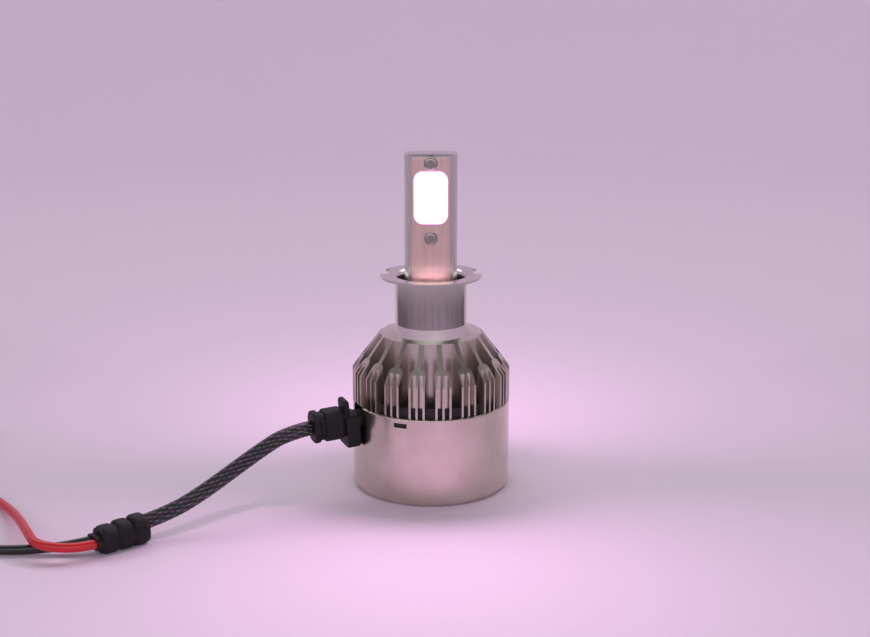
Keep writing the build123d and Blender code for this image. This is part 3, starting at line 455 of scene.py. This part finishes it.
# The sleeve's section is two circles of radius a at c to each side: c|cos t| + sqrt(a^2 - c^2 sin^2 t).
# Two families of threads run round it at opposite slants. A thread's height is |sin| across it, and
# the product of both families' sines says which one lies on top. The flat side looks forwards and up.
steps_along, points_round = 640, 104
core_radius, core_offset = 0.00100, 0.00060
thread_count, thread_lay, thread_relief = 16, 0.00125, 0.00010
thread_mean, thread_rise = 0.72, 0.28
flat_side = np.array([0.0, -0.97, 0.25])
cable_line = cord_curve("cable_line", cable_route)
cable_points, cable_steps = read_line(cable_line, steps_along)
bpy.data.objects.remove(cable_line)
ahead = np.gradient(cable_points, axis=0)
ahead /= np.linalg.norm(ahead, axis=1)[:, None]
face = flat_side - ahead * (ahead @ flat_side)[:, None]
face /= np.linalg.norm(face, axis=1)[:, None]
across = np.cross(ahead, face)
turn = np.linspace(0, 2 * math.pi, points_round, endpoint=False)[None, :]
section = core_offset * np.abs(np.cos(turn)) + np.sqrt(core_radius**2 - (core_offset * np.sin(turn)) ** 2)
left_family = thread_count * turn / (2 * math.pi) + cable_steps[:, None] / thread_lay
right_family = thread_count * turn / (2 * math.pi) - cable_steps[:, None] / thread_lay
left_wave, right_wave = np.sin(math.pi * left_family), np.sin(math.pi * right_family)
over = left_wave * right_wave
left_height = np.abs(left_wave) * (thread_mean + thread_rise * over)
right_height = np.abs(right_wave) * (thread_mean - thread_rise * over)
sleeve_reach = section - thread_relief + thread_relief * np.maximum(left_height, right_height)
cable_grid = (
    cable_points[:, None, :]
    + across[:, None, :] * (sleeve_reach * np.cos(turn))[..., None]
    + face[:, None, :] * (sleeve_reach * np.sin(turn))[..., None]
)
braid = tube_mesh("braid_sleeve", cable_grid)
# Grey where a marker thread of the left slant lies on top: partly the thread's own colour, partly painted
# highlight for the sheen flecks.
tracer_and_sheen = (left_height > right_height) & (np.floor(left_family) % 2 == 0)
shade = np.r_[(tracer_and_sheen * 1.0).ravel(), 0.0, 0.0]
braid.data.attributes.new("tracer_and_sheen", "FLOAT", "POINT").data.foreach_set("value", shade)
# Woven nylon: black threads with a silky gloss along each one, and grey marker threads whose colour also
# paints the weave's sheen flecks: painted highlight.
nylon_braid, tree, shader = start_material("woven_nylon_sleeve", {"Roughness": 0.34, "IOR": 1.53})
thread = add_node(tree, "Attribute", attribute_name="tracer_and_sheen").outputs["Fac"]
tone = add_node(tree, "ValToRGB", {"Fac": thread})
tone.color_ramp.elements[0].color = linear("#121114")
tone.color_ramp.elements[1].color = linear("#5C5860")
tree.links.new(tone.outputs["Color"], shader.inputs["Base Color"])
braid.data.materials.append(nylon_braid)
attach(braid, "bulb")
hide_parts("braided_cable")

# Red and black wires: stranded copper in soft PVC. They leave the joint along the floor, the red one
# crossing over the black, and end in the blade terminals past the edge of the view. The extruded vinyl has
# a soft gloss with faint drag marks.
wire_diameter, drag_mark = 0.0019, 0.0008
red_route = [
    (-0.0641348, -0.0415015, 0.0026),
    (-0.0672, -0.0439, 0.0026),
    (-0.0720, -0.0451, 0.0029),
    (-0.0768, -0.0434, 0.0031),
    (-0.0794, -0.0386, 0.0032),
    (-0.0830, -0.0310, 0.0026),
    (-0.0870, -0.0235, 0.0018),
    (-0.0915, -0.0170, 0.0012),
    (-0.0985, -0.0085, 0.0011),
    (-0.1104, 0.0005, 0.0022),
    (-0.1104, 0.0115, 0.0022),
]
black_route = [
    (-0.0655043, -0.0397798, 0.0026),
    (-0.0705, -0.0412, 0.0018),
    (-0.0781, -0.0413, 0.0010),
    (-0.0860, -0.0416, 0.0010),
    (-0.0960, -0.0385, 0.0010),
    (-0.1050, -0.0310, 0.0010),
    (-0.1145, -0.0200, 0.0010),
    (-0.1196, -0.0090, 0.0022),
    (-0.1196, 0.0030, 0.0022),
]
for colour, code, route, exit_point, length in (
    ("red", "#C9101C", red_route, (-0.0653087, -0.0424353, 0.0026), 0.0801),
    ("black", "#141416", black_route, (-0.0666782, -0.0407136, 0.0026), 0.0812),
):
    wire = cord_curve(f"{colour}_insulated_wire", route, wire_diameter / 2)
    soft_vinyl, tree, shader = start_material(
        f"{colour}_soft_vinyl", {"Base Color": linear(code), "IOR": 1.53, "Coat Weight": 0.15}
    )
    place = add_node(tree, "TexCoord").outputs["Object"]
    drag = add_node(
        tree, "TexNoise", {"Vector": place, "Scale": 1 / drag_mark, "Detail": 3.0}
    ).outputs["Fac"]
    rough = add_node(tree, "MapRange", {"Value": drag, "To Min": 0.28, "To Max": 0.44}).outputs["Result"]
    tree.links.new(rough, shader.inputs["Roughness"])
    relief = add_node(
        tree, "Bump", {"Height": drag, "Strength": 0.1, "Distance": 0.00003}
    ).outputs["Normal"]
    tree.links.new(relief, shader.inputs["Normal"])
    wire.data.materials.append(soft_vinyl)
    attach(wire, "bulb")
    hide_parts(f"{colour}_wire")
    dress(soft_vinyl, f"{colour}_terminal_sleeve")

# Blade terminals: stamped brass, tinned, crimped on the wires' ends under the sleeves.
# The tin is bright, with duller patches from handling.
tin_patch = 0.001
tinned_brass, tree, shader = start_material(
    "stamped_tinned_brass", {"Base Color": linear("#CFC6B0"), "Metallic": 1.0}
)
place = add_node(tree, "TexCoord").outputs["Object"]
stamped = add_node(
    tree, "TexNoise", {"Vector": place, "Scale": 1 / tin_patch, "Detail": 4.0}
).outputs["Fac"]
rough = add_node(tree, "MapRange", {"Value": stamped, "To Min": 0.22, "To Max": 0.4}).outputs["Result"]
tree.links.new(rough, shader.inputs["Roughness"])
dress(tinned_brass, "red_terminal", "black_terminal")

# Stage: a round tray of pale paper, one profile turned about the bulb: flat floor, a quarter circle up at
# the rim, then a wall that rises towards the back, where the tops of the metal mirror it. The floor lies a
# hair below the feet, and from below the tray is clear, so that the fan can be seen.
floor_radius, rim_radius, floor_drop, wall_least, wall_rise = 0.50, 0.26, 0.00005, 0.01, 0.34
rim_steps, round_steps = 33, 160
bend = np.linspace(0, math.pi / 2, rim_steps)[:, None]
round_axis = np.linspace(0, 2 * math.pi, round_steps, endpoint=False)[None, :]
wall_height = wall_least + wall_rise * ((1 + np.sin(round_axis)) / 2) ** 2
tray_reach = floor_radius + rim_radius * np.sin(np.r_[bend, bend[-1:]])
rim_height = rim_radius * (1 - np.cos(bend)) + 0 * round_axis
tray_height = np.r_[rim_height, rim_radius + wall_height] - floor_drop
tray_points = np.stack(
    [tray_reach * np.cos(round_axis), tray_reach * np.sin(round_axis), tray_height], axis=-1
).reshape(-1, 3)
ring, step = np.meshgrid(np.arange(rim_steps), np.arange(round_steps), indexing="ij")
beside = (step + 1) % round_steps
inner, outer = ring * round_steps, (ring + 1) * round_steps
rim_faces = np.stack([inner + step, outer + step, outer + beside, inner + beside], axis=-1).reshape(-1, 4)
tray_mesh = bpy.data.meshes.new("paper_tray")
tray_mesh.from_pydata(tray_points.tolist(), [], [list(range(round_steps))] + rim_faces.tolist())
tray_mesh.polygons.foreach_set("use_smooth", np.arange(len(tray_mesh.polygons)) > 0)
paper_tray = bpy.data.objects.new("paper_tray", tray_mesh)
bpy.context.scene.collection.objects.link(paper_tray)
pale_paper, tree, shader = start_material(
    "pale_paper", {"Base Color": linear("#EBD9EC"), "Roughness": 0.9}
)
behind = add_node(tree, "NewGeometry").outputs["Backfacing"]
passed = add_node(tree, "LightPath").outputs["Transparent Depth"]
clear_share = add_node(
    tree, "Math", {0: behind, 1: passed}, operation="MAXIMUM", use_clamp=True
).outputs["Value"]
clear = add_node(tree, "BsdfTransparent").outputs["BSDF"]
paper = add_node(
    tree, "MixShader", {0: clear_share, 1: shader.outputs["BSDF"], 2: clear}
).outputs["Shader"]
tree.links.new(paper, tree.nodes["Material Output"].inputs["Surface"])
paper_tray.data.materials.append(pale_paper)

# Dark card: a wide arc of felt round the front and the sides of the bulb, just above the floor. It shows
# only in the metal and darkens what it mirrors, so that the collar's sleeve stands out from its disc.
card_near, card_far, card_lift = 0.125, 0.190, 0.001
card_half_sweep, card_steps = math.radians(135), 73
card_sweep = np.linspace(-card_half_sweep, card_half_sweep, card_steps)[None, :]
card_reach = np.array([card_near, card_far])[:, None]
card_height = np.full((2, card_steps), card_lift)
card_points = np.stack(
    [card_reach * np.sin(card_sweep), -card_reach * np.cos(card_sweep), card_height], axis=-1
).reshape(-1, 3)
near_edge = np.arange(card_steps - 1)
far_edge = near_edge + card_steps
card_faces = np.stack([near_edge, far_edge, far_edge + 1, near_edge + 1], axis=-1)
card_mesh = bpy.data.meshes.new("dark_card")
card_mesh.from_pydata(card_points.tolist(), [], card_faces.tolist())
dark_card = bpy.data.objects.new("dark_card", card_mesh)
bpy.context.scene.collection.objects.link(dark_card)
dark_card.visible_camera = dark_card.visible_diffuse = dark_card.visible_shadow = False
black_felt = start_material("black_felt", {"Base Color": linear("#1A1720"), "Roughness": 1.0})[0]
dark_card.data.materials.append(black_felt)

# Light: a wide soft box above and behind, another raised in front, a third under the floor that reaches
# only what is seen from below, and a dim even sky. A small lamp on each emitter throws the bulb's own
# light on the floor.
for name, spot, target, width, height, power, tint in (
    ("rear_box", (0.00, 0.72, 0.95), (0, -0.03, 0), 2.4, 0.80, 10.2, "#FFFFFF"),
    ("front_box", (-0.10, -1.0, 0.60), (0, 0, 0.03), 3.4, 0.75, 12.0, "#FFFFFF"),
    ("under_box", (0.0, -0.3, -0.6), (0, 0, 0), 1.0, 0.8, 3.0, "#FFFFFF"),
    ("front_glow", (0, -0.0052, 0.0644), (0, -1.0, 0.0644), 0.0072, 0.0112, 0.07, "#FFC8F2"),
    ("rear_glow", (0, 0.0052, 0.0644), (0, 1.0, 0.0644), 0.0072, 0.0112, 0.07, "#FFC8F2"),
):
    lamp = bpy.data.lights.new(name, "AREA")
    lamp.shape = "RECTANGLE"
    lamp.size = width
    lamp.size_y = height
    lamp.energy = power
    lamp.color = linear(tint)[:3]
    holder = bpy.data.objects.new(name, lamp)
    bpy.context.scene.collection.objects.link(holder)
    holder.location = spot
    aim = Vector(target) - Vector(spot)
    holder.rotation_euler = aim.to_track_quat("-Z", "Y").to_euler()
    holder.visible_camera = False
world = bpy.data.worlds.new("dim_sky")
world.use_nodes = True
sky = world.node_tree.nodes["Background"]
sky.inputs["Color"].default_value = linear("#DCD6E2")
sky.inputs["Strength"].default_value = 0.14
bpy.context.scene.world = world

# Camera: 0.3 m in front and a little above the top of the bulb, looking 14 degrees down, for a picture
# of 870 by 637.
photo_width, photo_focus = 870, 1421
viewpoint, look_down = (0.00088, -0.300, 0.1132), 14.21
camera = bpy.data.cameras.new("photo_camera")
camera.sensor_width = 36
camera.lens = camera.sensor_width * photo_focus / photo_width
camera.clip_start = 0.01
viewer = bpy.data.objects.new("photo_camera", camera)
bpy.context.scene.collection.objects.link(viewer)
viewer.location = viewpoint
viewer.rotation_euler = (math.radians(90 - look_down), 0, 0)
bpy.context.scene.camera = viewer
bpy.context.scene.view_settings.view_transform = "Standard"
